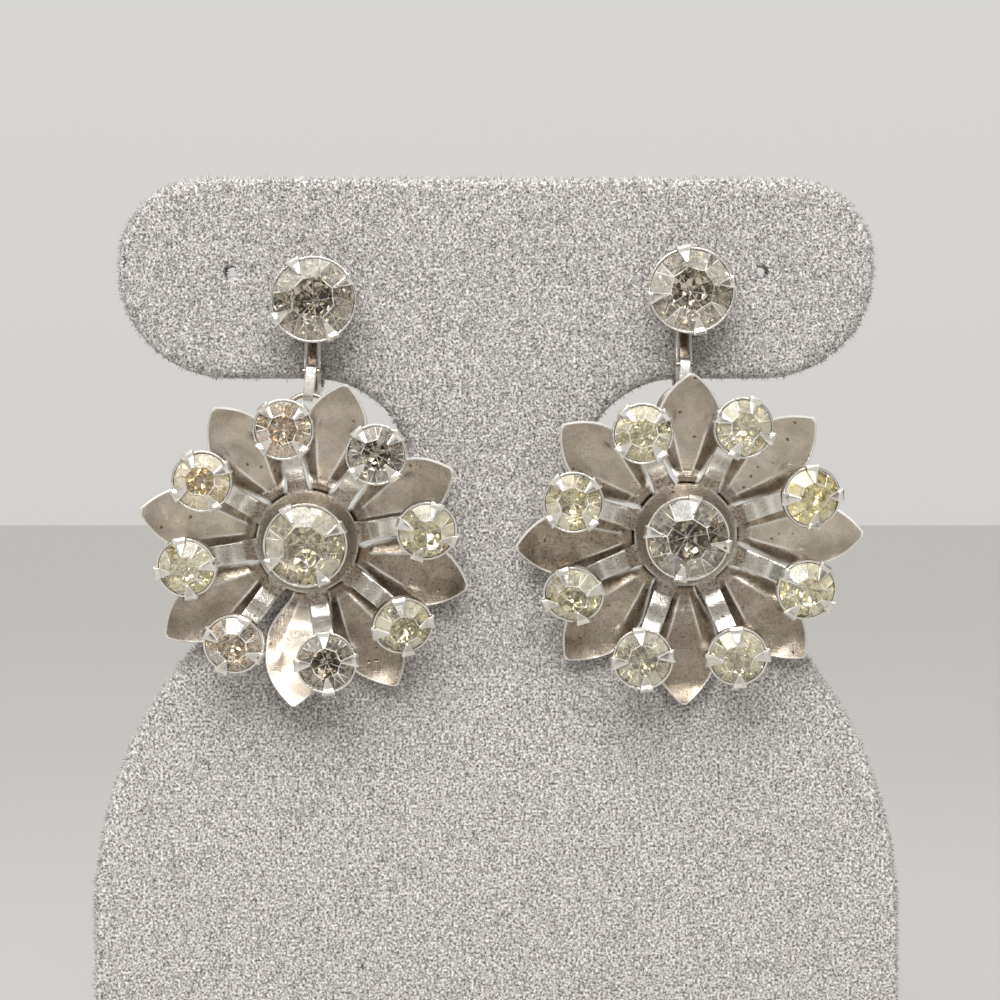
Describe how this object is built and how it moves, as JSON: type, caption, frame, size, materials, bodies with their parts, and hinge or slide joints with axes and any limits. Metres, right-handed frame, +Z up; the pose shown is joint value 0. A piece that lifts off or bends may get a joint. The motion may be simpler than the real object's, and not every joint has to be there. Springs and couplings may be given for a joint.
{
  "type": "pair of screw back earrings on a display stand",
  "caption": "Flower drop earrings with cut glass stones in pronged cups, clamped by screws on the arms of a flocked T-shaped display stand with a foot behind.",
  "frame": {"origin": "middle of the underside of the whole", "axes": "+Z up, the flowers and the panel's front face -Y, +X to the viewer's right"},
  "size_m": [0.0674, 0.0534, 0.0825],
  "materials": {
    "flock": "short grey flock",
    "plated_metal": "silver-coloured plating, polished and worn",
    "clear_glass": "cut glass with a foiled back",
    "yellow_glass": "cut glass with a foiled back, yellowed"
  },
  "bodies": {
    "stand": {"stand": "flock", "ear_wire_l": "plated_metal", "top_stone_l": "clear_glass", "screw_l": "plated_metal", "ear_wire_r": "plated_metal", "top_stone_r": "clear_glass", "screw_r": "plated_metal"},
    "link_l": {"link_l": "plated_metal"},
    "flower_l": {"petals_l": "plated_metal", "spray_l": "plated_metal", "centre_cup_l": "plated_metal", "centre_stone_l": "clear_glass", "stone_1_l": "clear_glass", "stone_2_l": "clear_glass", "stone_3_l": "yellow_glass", "stone_4_l": "yellow_glass", "stone_5_l": "clear_glass", "stone_6_l": "clear_glass", "stone_7_l": "yellow_glass", "stone_8_l": "yellow_glass"},
    "link_r": {"link_r": "plated_metal"},
    "flower_r": {"petals_r": "plated_metal", "spray_r": "plated_metal", "centre_cup_r": "plated_metal", "centre_stone_r": "clear_glass", "stone_1_r": "yellow_glass", "stone_2_r": "yellow_glass", "stone_3_r": "yellow_glass", "stone_4_r": "yellow_glass", "stone_5_r": "yellow_glass", "stone_6_r": "clear_glass", "stone_7_r": "yellow_glass", "stone_8_r": "yellow_glass"}
  },
  "joints": [
    {"name": "link_l_swing", "type": "hinge", "parent": "stand", "child": "link_l", "pos_m": [-0.0153, -0.02084, 0.06627], "axis": [-1, 0, 0], "range_deg": [0, 74]},
    {"name": "flower_l_sway", "type": "hinge", "parent": "link_l", "child": "flower_l", "pos_m": [-0.01555, -0.02063, 0.06218], "axis": [0, -0.9954, -0.0958], "range_deg": [-25, 15]},
    {"name": "link_r_swing", "type": "hinge", "parent": "stand", "child": "link_r", "pos_m": [0.01568, -0.02084, 0.06684], "axis": [-1, 0, 0], "range_deg": [0, 74]},
    {"name": "flower_r_sway", "type": "hinge", "parent": "link_r", "child": "flower_r", "pos_m": [0.01559, -0.02063, 0.06274], "axis": [0, -0.9954, -0.0958], "range_deg": [-15, 25]}
  ]
}
